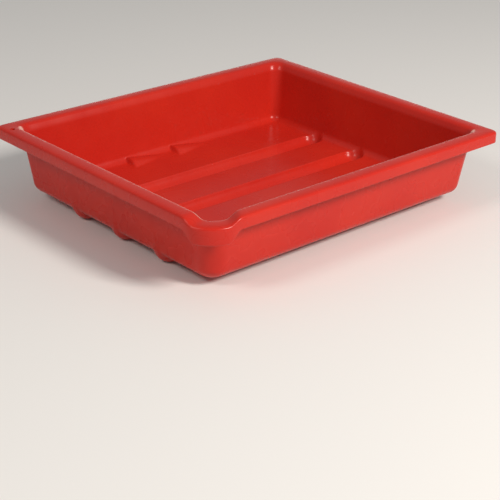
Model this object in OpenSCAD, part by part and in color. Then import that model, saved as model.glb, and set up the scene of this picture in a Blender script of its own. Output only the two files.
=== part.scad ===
// Developing tray for darkroom work: one plastic moulding with drafted walls,
// a rolled rim, a pouring lip in one corner, three rounded channels in the
// floor and two lifting ramps at the foot of one long wall.
// X runs along the long side, Y along the short side, Z up. The origin is under
// the middle of the tray, on the surface that its three runners stand on.

/* [Rim] */
// Length over the rim
rim_length = 310; // [240:1:440]
// Width over the rim
rim_width = 266; // [200:1:360]
// How far the rim reaches out from its inner crest
rim_reach = 14; // [12:0.5:20]
// Height of the rim from its crest to the lower edge of the skirt
rim_drop = 10; // [8.5:0.5:14]
// Corner radius of the crest, seen from above
crest_radius = 10; // [8:0.5:14]
// Corner radius of the rim's outer edge, seen from above
rim_radius = 5; // [3:0.5:12]

/* [Body] */
// Overall height, from the runners to the crest
tray_height = 62.5; // [45:0.5:90]
// How far the walls lean in between the crest and the base
wall_lean = 5.5; // [2:0.5:12]
// Thickness of the walls and the rim
wall = 2.2; // [1.6:0.1:3]
// Thickness of the floor
floor_thickness = 2.5; // [1.8:0.1:3.5]

/* [Pouring lip] */
// How far the crest dips in the corner that pours
lip_dip = 4.5; // [2:0.5:7]
// How much further the lower edge of the skirt dips there
lip_hang = 4; // [0:0.5:6]
// Corner radius of the rim's outer edge at the lip, seen from above
lip_radius = 26; // [14:0.5:28]
// Corner radius of the crest at the lip, seen from above
lip_crest_radius = 18; // [10:0.5:22]
// Half the length of crest that the dip takes up
lip_run = 22; // [15:1:30]

/* [Channels] */
// Radius of the half-round channels in the floor
channel_radius = 9.8; // [6:0.2:14]
// Depth of the channels below the floor
channel_depth = 7.6; // [4:0.2:9]
// Distance between the middles of neighbouring channels
channel_pitch = 52; // [40:1:60]

/* [Lifting ramps] */
// Length of each ramp along the wall
ramp_length = 38; // [30:1:60]
// Distance from one ramp's high end to the next one's
ramp_pitch = 48; // [35:1:70]
// How far the middle of the high end stands in front of the foot of the wall
ramp_reach = 5.6; // [4:0.2:8]
// Height of the ramp's high end above the floor
ramp_height = 6; // [3:0.5:8]

/* [Hanging hole] */
// Diameter of the hole in the rim
hole_d = 4; // [3:0.5:5]
// Distance of the hole's middle from the crest
hole_out = 8; // [7:0.5:9]

/* [Hidden] */

// Half the length and width of the crest, the line where wall and rim meet
crest_x = rim_length / 2 - rim_reach;
crest_y = rim_width / 2 - rim_reach;
// Distance from the crest in to the edge of the flat floor
floor_inset = 13.4;

// The runners are the undersides of the channels, cut flat where they stand
flat_cut = 0.3;
channel_axis_z = channel_radius + wall - flat_cut;
floor_top = channel_axis_z - channel_radius + channel_depth;
base_z = floor_top - floor_thickness;

// The ramps are cones whose axis lies this far below the floor
ramp_sunk = 7;
// The second ramp starts just past the middle of the tray
first_ramp = 6 - ramp_pitch;

// Distance of the hanging hole from the end of the short side's crest
hole_from_end = 3;

// Slope of the walls
lean_angle = atan((wall_lean + wall) / (tray_height - base_z));
function outer_wall(z) = wall - (tray_height - z) * tan(lean_angle);
function inner_wall(z) = outer_wall(z) - wall / cos(lean_angle);
// Radius of the rounding between a wall and the flat floor
function foot_radius(wall_at_foot) =
    (floor_inset + wall_at_foot) * cos(lean_angle) / (1 - sin(lean_angle));
outer_foot_r = foot_radius(outer_wall(base_z));
inner_foot_r = foot_radius(inner_wall(floor_top));
// The channels end just short of where the short walls would meet the floor
channel_end = crest_x + inner_wall(floor_top) - 0.6;

// Arc in the profile plane as [offset, height] points
function arc(cu, cz, r, from, to, n) =
    [for (i = [0 : n]) let (a = from + (to - from) * i / n) [cu + r * cos(a), cz + r * sin(a)]];
// Flattened quarter of an oval that starts level at the crest and turns down. The lower
// its exponent, the flatter its top and the tighter its turn
flatness = 0.45;
function roll(from_u, to_u, top_z, fall, n, first = 0) =
    [for (i = [first : n]) let (a = 90 * i / n)
        [from_u + (to_u - from_u) * pow(sin(a), flatness), top_z - fall * (1 - pow(cos(a), flatness))]];
function reversed(list) = [for (i = [len(list) - 1 : -1 : 0]) list[i]];

outer_foot_z = base_z + outer_foot_r;
inner_foot_z = floor_top + inner_foot_r;
// Radius of the rounding between the wall and the top of the rim
crest_round = 4.5;
// Height of the upright skirt below the rim's roll
skirt_height = 6;
roll_fall = rim_drop - skirt_height;
skirt_inner = rim_reach - wall;
// The roll's underside falls this much less than its top, which thickens the turn
turn_extra = 1.9;
// One more level part of the way down the walls
mid_wall_z = tray_height - 16;

base_edge = arc(outer_wall(outer_foot_z) - outer_foot_r / cos(lean_angle), outer_foot_z,
    outer_foot_r, -90, -lean_angle, 5);
wall_outside = [[outer_wall(mid_wall_z), mid_wall_z]];
rim_under = concat(
    arc(crest_round, tray_height - crest_round, crest_round - wall, 180 - lean_angle, 90, 3),
    roll(crest_round, skirt_inner, tray_height - wall, roll_fall - turn_extra, 6, 1));
skirt_edge = [[skirt_inner, tray_height - rim_drop], [rim_reach, tray_height - rim_drop]];
rim_top = concat(
    reversed(roll(crest_round, rim_reach, tray_height, roll_fall, 10, 1)),
    arc(crest_round, tray_height - crest_round, crest_round, 90, 180 - lean_angle, 5));
wall_inside = [[inner_wall(mid_wall_z), mid_wall_z]];
floor_edge = arc(inner_wall(inner_foot_z) - inner_foot_r / cos(lean_angle), inner_foot_z,
    inner_foot_r, -lean_angle, -90, 5);

// The whole section, from the middle of the base round the outside and the rim to the
// floor, as [offset from the crest, height, share of the lip's dip]
function with_dip(points, share) = [for (p = points) [p[0], p[1], share]];
section = concat(
    with_dip(concat(base_edge, wall_outside), 0),
    with_dip(rim_under, 1),
    with_dip(skirt_edge, 1 + lip_hang / lip_dip),
    with_dip(rim_top, 1),
    with_dip(concat(wall_inside, floor_edge), 0));

// A value at offset u from the crest, out of a pair of [at the crest, at the rim's edge]
function between(u, pair) = pair[0] + (pair[1] - pair[0]) * max(0, min(1, u / rim_reach));

// Corner radius of a level, seen from above, at offset u from the crest. It shrinks
// to floor_radius where the flat floor begins
floor_radius = 0.8;
rim_radii = [crest_radius, rim_radius];
lip_radii = [lip_crest_radius, lip_radius];
function corner_radius(u, radii) = u > 0
    ? between(u, radii)
    : max(floor_radius, radii[0] * (1 - pow(u / floor_inset, 2)));

function smooth(t) = let (s = max(0, min(1, t))) s * s * (3 - 2 * s);
// The dip's middle lies a little along the long side from the corner's middle. It is
// full for a short way at the crest and for most of the way at the skirt
dip_shift = [5, 2.5];
dip_full = [8, 18];
dip_out = [lip_run, lip_run + 8];
function dip(u, x, y) = let (
        along = abs(x + crest_x - y - crest_y - between(u, dip_shift)),
        full = between(u, dip_full), out = between(u, dip_out))
    lip_dip * smooth((out - along) / (out - full));

// Steps in one corner arc and in the run-out of the dip, which ends this far from a corner
arc_steps = 10;
run_steps = 8;
run_end = lip_run + 20;
function corner_arc(sx, sy, from, u, z, radii, share) =
    let (r = corner_radius(u, radii), cx = sx * (crest_x + u - r), cy = sy * (crest_y + u - r))
    [for (i = [0 : arc_steps]) let (a = from + 90 * i / arc_steps,
            x = cx + r * cos(a), y = cy + r * sin(a))
        [x, y, z - (share > 0 ? share * dip(u, x, y) : 0)]];
// Points along one side where the dip runs out, from the lip's arc
function run_out(u, z, share, along_x) = let (r = corner_radius(u, lip_radii))
    [for (i = [1 : run_steps]) let (s = r + (run_end - r) * i / run_steps,
            x = -crest_x - u + (along_x ? s : 0), y = -crest_y - u + (along_x ? 0 : s))
        [x, y, z - (share > 0 ? share * dip(u, x, y) : 0)]];
// One level of the tray, anticlockwise from the start of the lip's arc
function level(p) = let (u = p[0], z = p[1], share = p[2]) concat(
    corner_arc(-1, -1, 180, u, z, lip_radii, share),
    run_out(u, z, share, true),
    corner_arc(1, -1, 270, u, z, rim_radii, 0),
    corner_arc(1, 1, 0, u, z, rim_radii, 0),
    corner_arc(-1, 1, 90, u, z, rim_radii, 0),
    reversed(run_out(u, z, share, false)));

levels = [for (p = section) level(p)];
per_level = len(levels[0]);
level_count = len(levels);
// The base and the floor close with a fan round a point in the middle
base_middle = per_level * level_count;
floor_middle = base_middle + 1;
last = (level_count - 1) * per_level;
function next(i) = (i + 1) % per_level;
function side_faces(k) = [for (i = [0 : per_level - 1]) let (
        a = k * per_level + i, b = k * per_level + next(i))
    each [[a, a + per_level, b + per_level], [a, b + per_level, b]]];

module shell() {
    polyhedron(
        points = concat([for (l = levels) each l], [[0, 0, base_z], [0, 0, floor_top]]),
        faces = concat(
            [for (i = [0 : per_level - 1]) [base_middle, i, next(i)]],
            [for (k = [0 : level_count - 2]) each side_faces(k)],
            [for (i = [0 : per_level - 1]) [floor_middle, last + next(i), last + i]]),
        convexity = 8);
}

// Half-round bar along X with round ends: the hollow of a channel, or with the wall's
// thickness added its underside
module bar(r, end, y) {
    reach = end - r;
    translate([-reach, y, channel_axis_z]) rotate([0, 90, 0]) cylinder(r = r, h = 2 * reach, $fn = 32);
    for (side = [-1, 1])
        translate([side * reach, y, channel_axis_z]) sphere(r = r, $fn = 32);
}

// Space above a channel, which cuts its ends into the rounding at the wall's foot
module above(r, end, y) {
    reach = end - r;
    translate([-reach, y - r, channel_axis_z]) cube([2 * reach, 2 * r, r]);
    for (side = [-1, 1])
        translate([side * reach, y, channel_axis_z]) cylinder(r = r, h = r, $fn = 32);
}

module channels() {
    for (i = [-1 : 1]) {
        bar(channel_radius, channel_end, i * channel_pitch);
        above(channel_radius, channel_end, i * channel_pitch);
    }
}

// Underside of the channels: runners with a narrow flat strip to stand on, cut off
// inside the floor
below_floor = 0.4;
module runners() {
    intersection() {
        for (i = [-1 : 1]) bar(channel_radius + wall, channel_end + wall, i * channel_pitch);
        translate([-rim_length / 2, -rim_width / 2, 0])
            cube([rim_length, rim_width, floor_top - below_floor]);
    }
}

// Half-sunk cone along the foot of the back wall: blunt and high at its left end,
// running out to nothing at its right end
module ramp(x0) {
    foot = crest_y + inner_wall(floor_top);
    big = ramp_height + ramp_sunk;
    intersection() {
        translate([x0, foot - ramp_reach, floor_top - ramp_sunk])
            rotate([0, 90, 0]) cylinder(r1 = big, r2 = ramp_sunk, h = ramp_length, $fn = 48);
        translate([x0 - 1, foot - 2 * big, floor_top - 1])
            cube([ramp_length + 2, 2 * big + 1, 2 * ramp_height]);
    }
}

module tray() {
    color("firebrick")
    difference() {
        union() {
            shell();
            runners();
            for (i = [0, 1]) ramp(first_ramp + i * ramp_pitch);
        }
        channels();
        // Hole to hang the tray by, in the rim of the short side near its far end
        translate([-crest_x - hole_out, crest_y - hole_from_end, tray_height - rim_drop - wall])
            cylinder(d = hole_d, h = 2 * rim_drop, $fn = 32);
    }
}

tray();
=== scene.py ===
# %% [markdown]
# # A developing tray
#
# A darkroom developing tray is one plastic moulding. Paper lies in a bath of developer,
# and the tray is rocked by hand and then emptied over one corner. This lesson builds the
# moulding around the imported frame: the camera first, then the smooth skin of the tray,
# then the glossy red plastic, and last the studio.

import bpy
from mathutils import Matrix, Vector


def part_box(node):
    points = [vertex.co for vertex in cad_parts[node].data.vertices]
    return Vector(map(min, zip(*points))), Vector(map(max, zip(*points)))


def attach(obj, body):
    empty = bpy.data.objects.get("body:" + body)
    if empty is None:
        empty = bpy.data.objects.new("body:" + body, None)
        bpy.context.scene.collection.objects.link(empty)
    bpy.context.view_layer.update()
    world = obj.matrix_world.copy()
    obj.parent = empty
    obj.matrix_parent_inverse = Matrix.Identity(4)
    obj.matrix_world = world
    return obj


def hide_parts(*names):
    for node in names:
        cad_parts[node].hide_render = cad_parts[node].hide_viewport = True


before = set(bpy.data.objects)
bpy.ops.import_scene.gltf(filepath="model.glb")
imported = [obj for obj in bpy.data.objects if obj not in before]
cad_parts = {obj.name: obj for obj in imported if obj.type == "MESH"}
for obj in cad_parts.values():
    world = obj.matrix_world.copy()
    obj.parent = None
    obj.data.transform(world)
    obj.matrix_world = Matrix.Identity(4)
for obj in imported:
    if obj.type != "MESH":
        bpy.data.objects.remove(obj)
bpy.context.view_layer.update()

# %% [markdown]
# Blender works in metres and a moulder thinks in millimetres, so one value turns one
# into the other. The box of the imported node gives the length, the width and the height,
# and the other sizes are the ones that the moulding was designed with.

# %% Sizes of the tray
import math

import bmesh
import bpy
from mathutils import Matrix, Vector

MM = 0.001
low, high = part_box("tray")
RIM_X, RIM_Y, HEIGHT = high[0] / MM, high[1] / MM, high[2] / MM
RIM_REACH = 14.0       # from the crest of the wall out to the edge of the rim
RIM_DROP = 10.0        # from the crest down to the lower edge of the skirt
FLOOR_INSET = 13.4     # from the crest in to the edge of the flat floor
RIM_RADII = (10.0, 5.0)      # corner radii seen from above, at the crest and at the edge
LIP_RADII = (18.0, 26.0)     # the same at the pouring lip
WALL = 2.2             # thickness of walls and rim
WALL_LEAN = 5.5        # from the crest in to the foot of the wall
FLOOR_Z = 9.5          # top of the floor
BASE_Z = 7.0           # underside of the floor
CREST_X, CREST_Y = RIM_X - RIM_REACH, RIM_Y - RIM_REACH
CORNER_X, CORNER_Y = CREST_X - FLOOR_INSET, CREST_Y - FLOOR_INSET
LEAN = math.atan((WALL_LEAN + WALL) / (HEIGHT - BASE_Z))
print("crest", round(CREST_X, 1), round(CREST_Y, 1), "mm, walls lean", round(math.degrees(LEAN), 1))

# %% [markdown]
# The camera looks down at the pouring corner from about 25 degrees, through a long lens
# that keeps the far walls nearly as large as the near ones. It leans by one degree, as a
# hand-levelled tripod does. Its position is given in its own directions: so far along its
# right, its up and its back from a point over the middle of the tray.

# %% Camera
AZIMUTH, ELEVATION, ROLL = -0.734, 0.432, 0.019
FOCAL_PIXELS, FRAME_PIXELS, SENSOR = 1370.0, 500.0, 36.0
STEP_RIGHT, STEP_UP, STEP_BACK, STEP_ORIGIN = 1.62, -96.6, 1110.0, 60.0

back = Vector((math.sin(AZIMUTH) * math.cos(ELEVATION),
               -math.cos(AZIMUTH) * math.cos(ELEVATION), math.sin(ELEVATION)))
right = Vector((math.cos(AZIMUTH), math.sin(AZIMUTH), 0))
up = back.cross(right)
rolled_right = right * math.cos(ROLL) + up * math.sin(ROLL)
rolled_up = up * math.cos(ROLL) - right * math.sin(ROLL)
place = (rolled_right * STEP_RIGHT + rolled_up * STEP_UP + back * STEP_BACK
         + Vector((0, 0, STEP_ORIGIN))) * MM

camera = bpy.data.objects.new("camera", bpy.data.cameras.new("camera"))
bpy.context.scene.collection.objects.link(camera)
camera.data.sensor_width = SENSOR
camera.data.lens = FOCAL_PIXELS / FRAME_PIXELS * SENSOR
camera.data.clip_end = 20
turn = Matrix((rolled_right, rolled_up, back)).transposed()
camera.matrix_world = Matrix.Translation(place) @ turn.to_4x4()
bpy.context.scene.camera = camera
print("camera at", [round(c, 3) for c in place], "lens", round(camera.data.lens, 1))

# %% [markdown]
# ## The skin of the moulding
#
# The tray is one sheet of plastic with two sides. Each side could be sculpted, or cut
# from a block with booleans, but a boolean leaves long thin faces that shade badly. Here
# each side is swept: a short chain of edges, the section from the floor's edge out to the
# skirt, is spun round each corner of the flat floor and drawn along each wall. Afterwards
# every level gets its own corner radius: 10 mm at the crest and 5 mm at the rim's edge,
# but 18 mm and 26 mm at the pouring lip.

# %% Section of the tray
CREST_ROUND = 4.5      # soft rounding from the wall to the top of the rim
EDGE_ROUND = 0.6       # round on the lower edge of the skirt
ROLL_FALL = 4.0        # how far the rim curves down before its skirt
FLATNESS = 0.45        # 1 would make the rim a true oval, and 0 a square edge
TURN_EXTRA = 1.9       # the underside curves down this much less, which thickens the turn
DIP_START = 16.0       # the pouring lip bends only this much of the wall's top
BEND_Z = HEIGHT - DIP_START
INSIDE_LEVELS = (20, 26, 32, 38, BEND_Z, 48, 52, 55, 57.5)    # heights of the walls' lines
OUTSIDE_LEVELS = (22, 30, 38, BEND_Z, 50, 54)


def outer_wall(z):
    """Distance of the outside of the wall from the flat floor's edge, at height z."""
    return FLOOR_INSET + WALL - (HEIGHT - z) * math.tan(LEAN)


def inner_wall(z):
    """The same for the inside, one wall thickness further in."""
    return outer_wall(z) - WALL / math.cos(LEAN)


def arc(middle, radius, start, end, steps):
    """Points on an arc in the section, with angles in degrees."""
    angles = [math.radians(start + (end - start) * i / steps) for i in range(steps + 1)]
    return [(middle[0] + radius * math.cos(a), middle[1] + radius * math.sin(a)) for a in angles]


def foot(wall_at_floor, floor, steps):
    """The rounding between floor and wall, centred over the flat floor's edge."""
    radius = wall_at_floor * math.cos(LEAN) / (1 - math.sin(LEAN))
    return arc((0, floor + radius), radius, -90, -math.degrees(LEAN), steps)


def roll(start, end, top, fall, steps):
    """A flattened quarter of an oval that leaves the crest level and ends upright."""
    angles = [math.pi / 2 * i / steps for i in range(1, steps)]
    return [(start + (end - start) * math.sin(a) ** FLATNESS,
             top - fall * (1 - math.cos(a) ** FLATNESS))
            for a in angles] + [(end, top - fall)]


edge = FLOOR_INSET + RIM_REACH
skirt_z = HEIGHT - RIM_DROP
crest_middle = (FLOOR_INSET + CREST_ROUND, HEIGHT - CREST_ROUND)
inside = foot(inner_wall(FLOOR_Z), FLOOR_Z, steps=12)
inside += [(inner_wall(z), z) for z in INSIDE_LEVELS]
inside += arc(crest_middle, CREST_ROUND, 180 - math.degrees(LEAN), 90, steps=5)
inside += roll(crest_middle[0], edge, HEIGHT, ROLL_FALL, steps=18)
inside += arc((edge - EDGE_ROUND, skirt_z + EDGE_ROUND), EDGE_ROUND, 0, -90, steps=3)

inner_edge = edge - WALL
outside = foot(outer_wall(BASE_Z), BASE_Z, steps=10)
outside += [(outer_wall(z), z) for z in OUTSIDE_LEVELS]
outside += arc(crest_middle, CREST_ROUND - WALL, 180 - math.degrees(LEAN), 90, steps=4)
outside += roll(crest_middle[0], inner_edge, HEIGHT - WALL, ROLL_FALL - TURN_EXTRA, steps=8)
outside += [(inner_edge, skirt_z), (edge - EDGE_ROUND, skirt_z)]
print(len(inside), "points in the section inside,", len(outside), "outside")

# %% [markdown]
# The faces along the walls aren't all the same length. Where a channel or a lifting ramp
# shapes the floor they are narrow, and elsewhere they are wide. The lines are listed once
# for X and once for Y, and the sweep and the floor both follow them, so that they join.

# %% Where the lines of the mesh run
CHANNEL_RADIUS, CHANNEL_PITCH, CHANNEL_AXIS_Z = 9.8, 52.0, 11.7
CHANNEL_END = CORNER_X + inner_wall(FLOOR_Z) - 0.6     # just short of the wall's foot
RAMP_LENGTH, RAMP_PITCH, RAMP_HEIGHT = 38.0, 48.0, 6.0
RAMP_REACH, RAMP_SUNK = 5.6, 7.0       # the cone's axis from the wall's foot and below the floor
RAMP_END_ROUND, RAMP_FILLET = 3.0, 0.8
RAMP_STARTS = (6.0 - RAMP_PITCH, 6.0)
# Widths of the faces: plain floor, plain wall, by a channel's side or end, and by a ramp
FLOOR_FACE, WALL_FACE, SIDE_FACE, END_FACE, RAMP_FACE = 6, 3.5, 2.5, 0.8, 1.3
RAMP_END_FACE, BEFORE_RAMP, AFTER_RAMP_END = 0.6, 1, 4
RAMPS_Y, PLAIN_WALL_X = 86, -98.0      # where the ramps' faces and the plain wall's begin
# Distances of the lines from a channel's middle, closest where its side turns to the floor
HALF_CHANNEL = [0, 1.7, 3.3, 4.7, 6, 7, 7.8, 8.4, 8.9, 9.3, 9.6, 9.9, 10.3, 10.8, 11.3,
                11.7, 12.1, 12.7, 13.5]


def spread(start, end, step):
    """Evenly spaced values from start up to, but not with, end."""
    count = max(1, round((end - start) / step))
    return [start + (end - start) * i / count for i in range(count)]


channel_lines = sorted({side * y for side in (-1, 1) for y in HALF_CHANNEL})
lines_y = []
for middle in (-CHANNEL_PITCH, 0, CHANNEL_PITCH):
    start = lines_y[-1] if lines_y else -CORNER_Y
    face = FLOOR_FACE if lines_y else SIDE_FACE
    lines_y += spread(start, middle - HALF_CHANNEL[-1], face)[bool(lines_y):]
    lines_y += [middle + y for y in channel_lines]
lines_y += spread(lines_y[-1], RAMPS_Y, FLOOR_FACE)[1:]
lines_y += spread(RAMPS_Y, CORNER_Y, RAMP_FACE) + [CORNER_Y]
end_zone = CHANNEL_END - CHANNEL_RADIUS - 4
half = spread(end_zone, CORNER_X, END_FACE) + [CORNER_X]
lines_x = [-x for x in reversed(half)]
lines_x += spread(-end_zone, PLAIN_WALL_X, SIDE_FACE)[1:] + [PLAIN_WALL_X]
for start in RAMP_STARTS:
    lines_x += spread(lines_x[-1], start - BEFORE_RAMP, WALL_FACE)[1:]
    lines_x += spread(start - BEFORE_RAMP, start + AFTER_RAMP_END, RAMP_END_FACE)
lines_x += spread(lines_x[-1], end_zone, WALL_FACE)[1:] + half
print(len(lines_x), "lines across X,", len(lines_y), "across Y")

# %% Sweep one side of the sheet
CORNER_STEPS = 14
print("each corner arc gets", CORNER_STEPS, "steps")


def swept_sheet(section, floor):
    """One face for the floor with the section swept round it, welded and cut into lines."""
    nx, ny = len(lines_x) - 1, len(lines_y) - 1
    bm = bmesh.new()
    bmesh.ops.create_grid(bm, x_segments=1, y_segments=1, size=1,
                          matrix=Matrix.Translation((0, 0, floor))
                          @ Matrix.Diagonal((CORNER_X, CORNER_Y, 1, 1)))
    chain = [bm.verts.new((-CORNER_X - r, -CORNER_Y, z)) for r, z in section]
    moving = chain + [bm.edges.new(pair) for pair in zip(chain, chain[1:])]
    for sx, sy, along in ((-1, -1, (2 * CORNER_X, 0, 0)), (1, -1, (0, 2 * CORNER_Y, 0)),
                          (1, 1, (-2 * CORNER_X, 0, 0)), (-1, 1, (0, -2 * CORNER_Y, 0))):
        moving = bmesh.ops.spin(bm, geom=moving, cent=(sx * CORNER_X, sy * CORNER_Y, 0),
                                axis=(0, 0, 1), angle=math.pi / 2, steps=CORNER_STEPS,
                                use_duplicate=False)["geom_last"]
        moving = bmesh.ops.spin(bm, geom=moving, cent=(0, 0, 0), axis=(0, 0, 1), angle=0,
                                dvec=along, steps=1, use_duplicate=False)["geom_last"]
    bmesh.ops.remove_doubles(bm, verts=bm.verts, dist=0.002)
    for axis, half_length, cuts in ((0, CORNER_X, nx - 1), (1, CORNER_Y, ny - 1)):
        long_edges = [e for e in bm.edges
                      if abs(e.verts[0].co[axis] - e.verts[1].co[axis]) > 1.9 * half_length]
        bmesh.ops.subdivide_edges(bm, edges=long_edges, cuts=cuts, use_grid_fill=True)
    for v in bm.verts:
        if abs(v.co.x) < CORNER_X - 0.01:
            v.co.x = lines_x[round((v.co.x / CORNER_X + 1) / 2 * nx)]
        if abs(v.co.y) < CORNER_Y - 0.01:
            v.co.y = lines_y[round((v.co.y / CORNER_Y + 1) / 2 * ny)]
    return bm


# %% [markdown]
# ## Channels, ramps and the pouring lip
#
# The floor has three half-round channels, so that the wet paper can be lifted by its edge
# and so that the tray stands on three runners. Along one long wall stand two ramps on
# which the sheet's edge slides up. Both are shaped by moving the floor's points up or
# down to a height that is worked out from the distance to a line. Where two shapes meet,
# a soft minimum leaves the small round that a mould has in its corners.

# %% Heights of the floor
BLUNTNESS = 0.6        # power of the ramp's end: the lower, the more upright it starts


def smooth(t):
    """Goes from 0 to 1 as t does, and leaves and arrives level."""
    t = max(0.0, min(1.0, t))
    return t * t * (3 - 2 * t)


def soft_min(a, b, blend):
    """The smaller of two heights, with a round about as wide as blend where they cross."""
    h = max(blend - abs(a - b), 0) / blend
    return min(a, b) - h * h * blend / 4


def hollow(x, y, radius, end, steepest):
    """Height of the nearest channel's surface, whose side never gets steeper than that."""
    middle = CHANNEL_PITCH * max(-1, min(1, round(y / CHANNEL_PITCH)))
    past_end = max(abs(x) - (end - radius), 0)
    d = math.hypot(past_end, y - middle)
    turn_d = radius * math.sin(steepest)
    if d <= turn_d:
        return CHANNEL_AXIS_Z - math.sqrt(radius * radius - d * d)
    return CHANNEL_AXIS_Z - radius * math.cos(steepest) + (d - turn_d) * math.tan(steepest)


def ramp(x, y):
    """Height of the nearer lifting ramp: a half-sunk cone with a blunt, rounded end."""
    best = 0.0
    side = y - (CORNER_Y + inner_wall(FLOOR_Z) - RAMP_REACH)
    for start in RAMP_STARTS:
        along = x - start
        radius = RAMP_SUNK + RAMP_HEIGHT * (1 - along / RAMP_LENGTH)
        if 0 < along < RAMP_LENGTH and abs(side) < radius:
            rise = max(0.0, math.sqrt(radius * radius - side * side) - RAMP_SUNK)
            blunt = math.sin(min(1, along / RAMP_END_ROUND) * math.pi / 2) ** BLUNTNESS
            best = max(best, FLOOR_Z + blunt * rise * rise / (rise + RAMP_FILLET))
    return best


print("channels", round(FLOOR_Z - CHANNEL_AXIS_Z + CHANNEL_RADIUS, 1), "mm deep, ramps",
      round(RAMP_HEIGHT * RAMP_HEIGHT / (RAMP_HEIGHT + RAMP_FILLET), 1), "mm high")

# %% [markdown]
# The lip is a dip of the rim in one corner, where the tray is emptied. Its middle lies a
# little along the long side. At the crest it is a narrow notch with soft sides, and at the
# skirt it is a wide blunt nose whose sides rise quickly.

# %% Corners and pouring lip
LIP_DIP, LIP_HANG = 4.5, 4.0           # dip of the rim, and further dip of the skirt's edge
# Middle of the dip along the long side, and where it is full and where it ends, measured
# along the crest. Each pair is (at the crest, at the skirt)
DIP_SHIFT, DIP_FULL, DIP_END = (5, 2.5), (8, 18), (22.0, 30.0)
STRETCH = 30.0         # this much of each wall's end gives or takes length for the corners
NEAR_FLOOR = 8         # channels and ramps shape the sheet up to this far above its floor
RIM_OFFSET = 2.3       # further out than this the section dips whole, further in it bends
HIGHLIGHT_SHARE = 0.53    # share of the crest's rounding that is painted pale, as a painted highlight
SLACK = 0.2            # the painted highlight's band may start this far inside the crest


def corner_radius(u, radii):
    """Corner radius of the level that lies u outside the crest."""
    if u > 0:
        return radii[0] + (radii[1] - radii[0]) * u / RIM_REACH
    return radii[0] * (1 - (u / FLOOR_INSET) ** 2)


def dip(u, x, y):
    """Share of the pouring lip's dip, from 0 outside it to 1 in its middle."""
    out = max(0.0, min(1.0, u / RIM_REACH))
    shift, full, end = (pair[0] + (pair[1] - pair[0]) * out
                        for pair in (DIP_SHIFT, DIP_FULL, DIP_END))
    along = abs(x + CREST_X - y - CREST_Y - shift)
    return smooth((end - along) / (end - full))


def round_corners(v):
    """Moves a point from the sweep's corner to the level's own corner arc."""
    x, y = abs(v.co.x), abs(v.co.y)
    over_x, over_y = max(x - CORNER_X, 0), max(y - CORNER_Y, 0)
    r = math.hypot(over_x, over_y)
    if r < 0.01:
        return r - FLOOR_INSET
    lip = v.co.x < 0 and v.co.y < 0
    radius = corner_radius(r - FLOOR_INSET, LIP_RADII if lip else RIM_RADII)
    shift = r - radius
    if x >= CORNER_X - 0.01 and y >= CORNER_Y - 0.01:
        x = CORNER_X + shift + radius * over_x / r
        y = CORNER_Y + shift + radius * over_y / r
    elif over_x > 0:
        y += shift * max(0, 1 - (CORNER_Y - y) / STRETCH)
    else:
        x += shift * max(0, 1 - (CORNER_X - x) / STRETCH)
    v.co.x, v.co.y = math.copysign(x, v.co.x), math.copysign(y, v.co.y)
    return r - FLOOR_INSET


def shape(bm, floor, radius, end, steepest, blend, with_ramps):
    """Presses the corners, the channels, the ramps and the lip into one side of the sheet."""
    crest_highlight_and_wear = bm.verts.layers.float.new("crest_highlight_and_wear")
    for v in bm.verts:
        u = round_corners(v)
        x, y, z = v.co
        # The near crest's rounding by the lip is marked for a painted highlight, not for wear
        on_crest = z > HEIGHT - CREST_ROUND and -SLACK < u < HIGHLIGHT_SHARE * CREST_ROUND
        by_lip = x < -CREST_X + 2 or y < -CREST_Y + 2
        v[crest_highlight_and_wear] = 1.0 if with_ramps and on_crest and by_lip else 0.0
        if z < floor + NEAR_FLOOR and (abs(x) <= CORNER_X or abs(y) <= CORNER_Y):
            z = soft_min(z, hollow(x, y, radius, end, steepest), blend)
            if with_ramps:
                top = ramp(x, y)
                z = -soft_min(-z, -top, min(1.0, top - floor)) if top > floor + 0.01 else z
        if z > BEND_Z and x < 0 and y < 0:
            up_wall = min(1, (z - BEND_Z) / (DIP_START - CREST_ROUND))
            down_skirt = max(0, min(1, (HEIGHT - ROLL_FALL - z) / (RIM_DROP - ROLL_FALL)))
            lowered = LIP_DIP * (1 if u > RIM_OFFSET else up_wall)
            if u > RIM_REACH - WALL - 1:
                lowered += LIP_HANG * down_skirt
            z -= dip(u, x, y) * lowered
        v.co.z = max(z, 0.0)
        # The runners' feet, which rest on the floor, are marked as real wear
        v[crest_highlight_and_wear] = 1.0 if z < 0.05 else v[crest_highlight_and_wear]


top_side = swept_sheet(inside, FLOOR_Z)
shape(top_side, FLOOR_Z, CHANNEL_RADIUS, CHANNEL_END, steepest=math.radians(72), blend=1.2,
      with_ramps=True)
under_side = swept_sheet(outside, BASE_Z)
shape(under_side, BASE_Z, CHANNEL_RADIUS + WALL, CHANNEL_END + WALL, steepest=math.radians(66),
      blend=1.5, with_ramps=False)
print(len(top_side.verts), "points on top,", len(under_side.verts), "underneath")

# %% Join the two sides into one closed solid
sheet_mesh = bpy.data.meshes.new("tray_under")
under_side.to_mesh(sheet_mesh)
under_side.free()
top_side.from_mesh(sheet_mesh)
bpy.data.meshes.remove(sheet_mesh)
bmesh.ops.remove_doubles(top_side, verts=top_side.verts, dist=0.01)
bmesh.ops.recalc_face_normals(top_side, faces=top_side.faces)
open_edges = sum(1 for e in top_side.edges if len(e.link_faces) != 2)
for face in top_side.faces:
    face.smooth = True
bmesh.ops.scale(top_side, vec=(MM, MM, MM), verts=top_side.verts)
tray_mesh = bpy.data.meshes.new("tray_moulding")
top_side.to_mesh(tray_mesh)
print(len(tray_mesh.polygons), "faces,", open_edges, "edges that aren't shared by two faces,",
      round(top_side.calc_volume(signed=True) * 1e6, 1), "cm3")
top_side.free()
tray = bpy.data.objects.new("tray_moulding", tray_mesh)
bpy.context.scene.collection.objects.link(tray)

# %% [markdown]
# A small round hole in the rim lets the tray hang from a nail to drip dry. It is drilled
# after moulding, so here too it is cut last, with a boolean and a round cutter. Here the
# long faces of a boolean do no harm, since the rim is almost flat around the hole.

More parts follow.
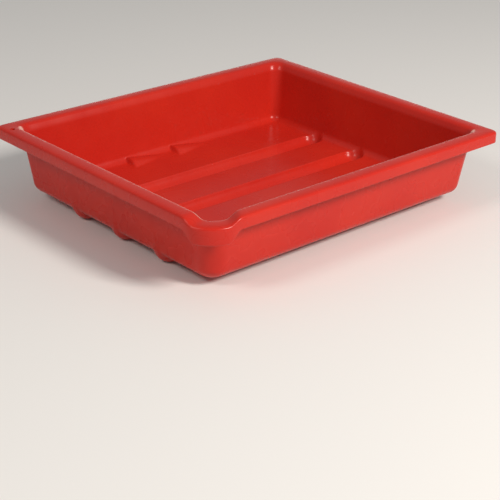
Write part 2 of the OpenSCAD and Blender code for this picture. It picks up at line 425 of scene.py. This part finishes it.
# %% Hanging hole
HOLE_RADIUS, DRILL_LENGTH = 2.0, 20
HOLE_X, HOLE_Y = -CREST_X - 8, CREST_Y - 3     # in the top of the rim, near its far end
bm = bmesh.new()
bmesh.ops.create_cone(bm, cap_ends=True, segments=48, radius1=HOLE_RADIUS * MM,
                      radius2=HOLE_RADIUS * MM, depth=DRILL_LENGTH * MM,
                      matrix=Matrix.Translation(Vector((HOLE_X, HOLE_Y, HEIGHT)) * MM))
drill_mesh = bpy.data.meshes.new("drill")
bm.to_mesh(drill_mesh)
bm.free()
drill = bpy.data.objects.new("drill", drill_mesh)
bpy.context.scene.collection.objects.link(drill)
cut = tray.modifiers.new("hanging_hole", "BOOLEAN")
cut.operation, cut.solver, cut.object = "DIFFERENCE", "MANIFOLD", drill
drilled = bpy.data.meshes.new_from_object(
    tray.evaluated_get(bpy.context.evaluated_depsgraph_get()))
tray.modifiers.clear()
tray.data = drilled
drilled.materials.clear()
bpy.data.objects.remove(drill)
for edge_of_hole in drilled.edges:
    middle = sum((drilled.vertices[i].co for i in edge_of_hole.vertices), Vector()) / 2 / MM
    if math.hypot(middle.x - HOLE_X, middle.y - HOLE_Y) < HOLE_RADIUS + 0.05:
        edge_of_hole.use_edge_sharp = True
print(len(drilled.polygons), "faces with the hole cut")

# %% Hand the piece to the frame
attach(tray, "root")
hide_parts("tray")
print(tray.name, "rides on root and stands in for the node tray")

# %% [markdown]
# ## Gloss-moulded polystyrene
#
# Such trays are injection moulded in impact polystyrene with its colour mixed in. The
# pigment makes it opaque, so there is no need for light inside the skin: a plain
# dielectric with the index of polystyrene, 1.59, is enough. It isn't a mirror. The steel
# of the mould was blasted before it was polished, chemicals have dulled the surface, and
# the two together leave highlights that are bright in the middle and soft at their edge.
#
# Four patterns break up the flat colour, each as large as its cause:
#
# - 70 mm: the melt cools unevenly as it flows from the middle, so the red drifts a little
# - 14 mm: the skin shrinks more over the channels and corners, which makes weak waves
# - 1.1 mm: the grain that the blasted mould left
# - 4.5 mm: scuffs that break up the pale marks, real wear on the runners and a painted highlight on
#   the near crest
#
# Trays are stored inside one another, which rubs the three runners underneath pale.
# The inner rounding of the two near rims that meet at the lip is painted pale too, as a
# painted highlight for the thin bright reflection along the near crest. The sheet's float
# attribute marks both. An alternative is a wear mask made from the shape's curvature,
# but that would also whiten edges nobody touches.

# %% Red plastic
FLOW_MM, WAVE_MM, GRAIN_MM, SCUFF_AND_HIGHLIGHT_MM = 70.0, 14.0, 1.1, 4.5
SHRINK_DEPTH_MM, GRAIN_DEPTH_MM, BUMP_STRENGTH = 0.2, 0.05, 0.2
# The pink paints a highlight on the near crest's rounding and real wear on the runners
REDS, HIGHLIGHT_AND_SCUFF_PINK = ("c0241a", "ca2c1d"), "f6c0b0"
ROUGHNESS, HIGHLIGHT_AND_SCUFF_COVER = (0.24, 0.32), (0.55, 0.9)
POLYSTYRENE_IOR = 1.59
DULLED = 0.22          # specular level: chemicals have dulled the surface


def linear(hex_colour):
    """sRGB hex to the linear colour that a shader works in."""
    parts = [int(hex_colour[i:i + 2], 16) / 255 for i in (0, 2, 4)]
    return [c / 12.92 if c <= 0.04045 else ((c + 0.055) / 1.055) ** 2.4 for c in parts] + [1.0]


def add(tree, kind, settings=None, links=None):
    """Adds one node, with its settings, input values and incoming links."""
    node = tree.nodes.new(kind)
    for key, value in (settings or {}).items():
        if key in node.inputs:
            node.inputs[key].default_value = value
        else:
            setattr(node, key, value)
    for key, source in (links or {}).items():
        tree.links.new(source, node.inputs[key])
    return node


def noise(tree, place, size_mm, detail):
    """Noise whose features are about that many millimetres wide."""
    return add(tree, "ShaderNodeTexNoise", {"Scale": 1 / (size_mm * MM), "Detail": detail},
               {"Vector": place})


def spread_over(tree, value, low_high, to_low_high):
    """Stretches the middle of a noise, which is all it uses, over a wanted range."""
    return add(tree, "ShaderNodeMapRange",
               {"From Min": low_high[0], "From Max": low_high[1],
                "To Min": to_low_high[0], "To Max": to_low_high[1]}, {"Value": value})


# Opaque glossy red: strong colour that hardly changes, with soft-edged white highlights
plastic = bpy.data.materials.new("polystyrene_gloss_moulded_red")
plastic.use_nodes = True
tree = plastic.node_tree
shader = tree.nodes["Principled BSDF"]
shader.inputs["IOR"].default_value = POLYSTYRENE_IOR
shader.inputs["Specular IOR Level"].default_value = DULLED
place = add(tree, "ShaderNodeTexCoord").outputs["Object"]

flow = noise(tree, place, FLOW_MM, 3.0)
tint = add(tree, "ShaderNodeValToRGB", None, {"Fac": flow.outputs["Fac"]})
for element, position, colour in zip(tint.color_ramp.elements, (0.3, 0.7), REDS):
    element.position, element.color = position, linear(colour)

# Pale pink where the attribute marks it: a painted highlight along the near crest, and rubbed wear
# on the runners
scuffs_and_highlight_breakup = noise(tree, place, SCUFF_AND_HIGHLIGHT_MM, 4.0)
share = spread_over(tree, scuffs_and_highlight_breakup.outputs["Fac"], (0.2, 0.6), HIGHLIGHT_AND_SCUFF_COVER)
highlight_and_wear = add(tree, "ShaderNodeAttribute", {"attribute_name": "crest_highlight_and_wear"})
amount = add(tree, "ShaderNodeMath", {"operation": "MULTIPLY"})
tree.links.new(highlight_and_wear.outputs["Fac"], amount.inputs[0])
tree.links.new(share.outputs["Result"], amount.inputs[1])
worn_and_highlit = add(tree, "ShaderNodeMixRGB", {"Color2": linear(HIGHLIGHT_AND_SCUFF_PINK)},
           {"Fac": amount.outputs["Value"], "Color1": tint.outputs["Color"]})
tree.links.new(worn_and_highlit.outputs["Color"], shader.inputs["Base Color"])

waves = noise(tree, place, WAVE_MM, 1.0)
grain = noise(tree, place, GRAIN_MM, 2.0)
rough = spread_over(tree, waves.outputs["Fac"], (0.3, 0.7), ROUGHNESS)
tree.links.new(rough.outputs["Result"], shader.inputs["Roughness"])
shrinkage = add(tree, "ShaderNodeBump",
                {"Strength": BUMP_STRENGTH, "Distance": SHRINK_DEPTH_MM * MM},
                {"Height": waves.outputs["Fac"]})
blasting = add(tree, "ShaderNodeBump",
               {"Strength": BUMP_STRENGTH, "Distance": GRAIN_DEPTH_MM * MM},
               {"Height": grain.outputs["Fac"], "Normal": shrinkage.outputs["Normal"]})
tree.links.new(blasting.outputs["Normal"], shader.inputs["Normal"])
tray.data.materials.append(plastic)
print(plastic.name, "with", len(tree.nodes), "nodes")

# %% [markdown]
# ## The studio
#
# The floor is matt white paper, wide enough to run out of sight. Two square softboxes
# light the tray from in front: the key from the right, which makes the long near wall
# and the long far wall the brightest, and a weak fill from the left that keeps the short
# walls readable. A long thin strip stands low behind the tray. It reaches
# the surfaces that turn away from the camera, and lights the thin pale line along the
# near crest. A
# dim grey world stands in for the walls of the room. One large light overhead would be
# simpler, but it would light the floor of the tray as brightly as its walls.

# %% Floor and lights
STAGE_HALF = 6.0       # metres
PAPER_ROUGHNESS, WORLD_STRENGTH = 0.9, 0.32
LAMP_WHITE = "fff8f0"  # a little warmer than the paper
# Matt paper: no highlights, only the tray's soft shadow
paper = bpy.data.materials.new("paper_backdrop_matt")
paper.use_nodes = True
paper.node_tree.nodes["Principled BSDF"].inputs["Base Color"].default_value = linear("e9e8e6")
paper.node_tree.nodes["Principled BSDF"].inputs["Roughness"].default_value = PAPER_ROUGHNESS
bm = bmesh.new()
bmesh.ops.create_grid(bm, x_segments=1, y_segments=1, size=STAGE_HALF)
floor_mesh = bpy.data.meshes.new("floor")
bm.to_mesh(floor_mesh)
bm.free()
floor_mesh.materials.append(paper)
ground = bpy.data.objects.new("floor", floor_mesh)
bpy.context.scene.collection.objects.link(ground)


def softbox(name, side, height, distance, width, depth, power):
    """A soft light that faces the tray, side degrees round from +X and height degrees up."""
    lamp = bpy.data.objects.new(name, bpy.data.lights.new(name, "AREA"))
    lamp.data.shape, lamp.data.size, lamp.data.size_y = "RECTANGLE", width, depth
    lamp.data.energy = power
    lamp.data.color = linear(LAMP_WHITE)[:3]
    a, e = math.radians(side), math.radians(height)
    spot = Vector((math.cos(a) * math.cos(e), math.sin(a) * math.cos(e), math.sin(e))) * distance
    lamp.location = spot
    lamp.rotation_euler = spot.to_track_quat("Z", "Y").to_euler()
    bpy.context.scene.collection.objects.link(lamp)


softbox("key", side=-80, height=38, distance=1.7, width=0.4, depth=0.4, power=23.5)
softbox("fill", side=182, height=43, distance=1.8, width=0.4, depth=0.4, power=6.5)
# This strip lights the pale line on the near crest, whose colour is also a painted highlight
softbox("edge_strip", side=47, height=8, distance=2.4, width=1.4, depth=0.1, power=1.6)
world = bpy.data.worlds.new("studio")
world.use_nodes = True
world.node_tree.nodes["Background"].inputs["Color"].default_value = linear("f2f2f2")
world.node_tree.nodes["Background"].inputs["Strength"].default_value = WORLD_STRENGTH
bpy.context.scene.world = world
bpy.context.scene.view_settings.view_transform = "Standard"
print("lights:", [light.name for light in bpy.data.lights])
